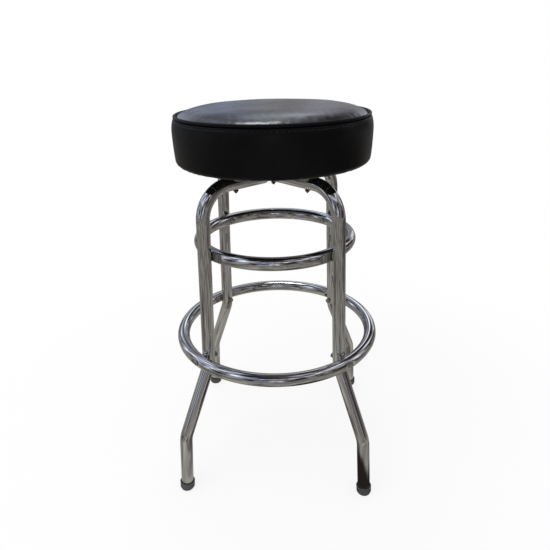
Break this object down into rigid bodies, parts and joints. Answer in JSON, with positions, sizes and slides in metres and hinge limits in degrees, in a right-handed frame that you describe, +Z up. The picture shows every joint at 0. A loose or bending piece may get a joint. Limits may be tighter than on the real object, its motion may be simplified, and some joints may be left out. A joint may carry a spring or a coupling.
{
  "type": "diner counter stool",
  "caption": "Swivelling counter stool: a round padded vinyl seat on crossed, bent chrome tube legs, with a brace ring under the seat and a wider foot ring below.",
  "frame": {"origin": "on the seat's axis, at the floor that the four foot caps stand on", "axes": "+Z up along the seat's swivel axis; -Y towards the viewer; each leg stands on a diagonal of X and Y"},
  "size_m": [0.4368, 0.4368, 0.765],
  "materials": {
    "chrome_tube": "polished",
    "chrome_hardware": "polished",
    "zinc_plate": "satin",
    "dark_steel": "satin",
    "bearing_steel": "polished",
    "nylon": "satin",
    "rubber": "matte",
    "seat_vinyl": "satin",
    "foam": "matte",
    "plywood": "matte"
  },
  "bodies": {
    "frame": {"leg_frame_over": "chrome_tube", "leg_frame_under": "chrome_tube", "upper_ring": "chrome_tube", "foot_ring": "chrome_tube", "upper_ring_bolt_back_right": "chrome_hardware", "upper_ring_bolt_back_left": "chrome_hardware", "upper_ring_bolt_front_left": "chrome_hardware", "upper_ring_bolt_front_right": "chrome_hardware", "foot_ring_bolt_back_right": "chrome_hardware", "foot_ring_bolt_back_left": "chrome_hardware", "foot_ring_bolt_front_left": "chrome_hardware", "foot_ring_bolt_front_right": "chrome_hardware", "swivel_cap_nut_back_right": "dark_steel", "swivel_cap_nut_back_left": "dark_steel", "swivel_cap_nut_front_left": "dark_steel", "swivel_cap_nut_front_right": "dark_steel", "crossing_cap_nut": "dark_steel", "swivel_bottom_plate": "zinc_plate", "swivel_bolt_back_right": "zinc_plate", "swivel_bolt_back_left": "zinc_plate", "swivel_bolt_front_left": "zinc_plate", "swivel_bolt_front_right": "zinc_plate", "crossing_bolt": "zinc_plate", "foot_ring_nut_back_right": "zinc_plate", "foot_ring_nut_back_left": "zinc_plate", "foot_ring_nut_front_left": "zinc_plate", "foot_ring_nut_front_right": "zinc_plate", "upper_ring_insert_back_right": "zinc_plate", "upper_ring_insert_back_left": "zinc_plate", "upper_ring_insert_front_left": "zinc_plate", "upper_ring_insert_front_right": "zinc_plate", "swivel_hollow_rivet": "bearing_steel", "foot_cap_back_right": "rubber", "foot_cap_back_left": "rubber", "foot_cap_front_left": "rubber", "foot_cap_front_right": "rubber"},
    "seat": {"seat_top_panel": "seat_vinyl", "seat_welt": "seat_vinyl", "seat_side_band": "seat_vinyl", "seat_foam": "foam", "seat_board": "plywood", "swivel_top_plate": "zinc_plate", "seat_screw_back_right": "zinc_plate", "seat_screw_back_left": "zinc_plate", "seat_screw_front_left": "zinc_plate", "seat_screw_front_right": "zinc_plate"},
    "ball_cage": {"ball_cage": "nylon", "bearing_ball_01": "bearing_steel", "bearing_ball_02": "bearing_steel", "bearing_ball_03": "bearing_steel", "bearing_ball_04": "bearing_steel", "bearing_ball_05": "bearing_steel", "bearing_ball_06": "bearing_steel", "bearing_ball_07": "bearing_steel", "bearing_ball_08": "bearing_steel", "bearing_ball_09": "bearing_steel", "bearing_ball_10": "bearing_steel"}
  },
  "joints": [
    {"name": "seat_swivel", "type": "hinge", "parent": "frame", "child": "seat", "pos_m": [0, 0, 0.6556], "axis": [0, 0, 1], "continuous": true},
    {"name": "cage_roll", "type": "hinge", "parent": "frame", "child": "ball_cage", "pos_m": [0, 0, 0.6556], "axis": [0, 0, 1], "continuous": true}
  ],
  "couplings": [
    {"joint": "cage_roll", "follows": "seat_swivel", "ratio": 0.5}
  ]
}
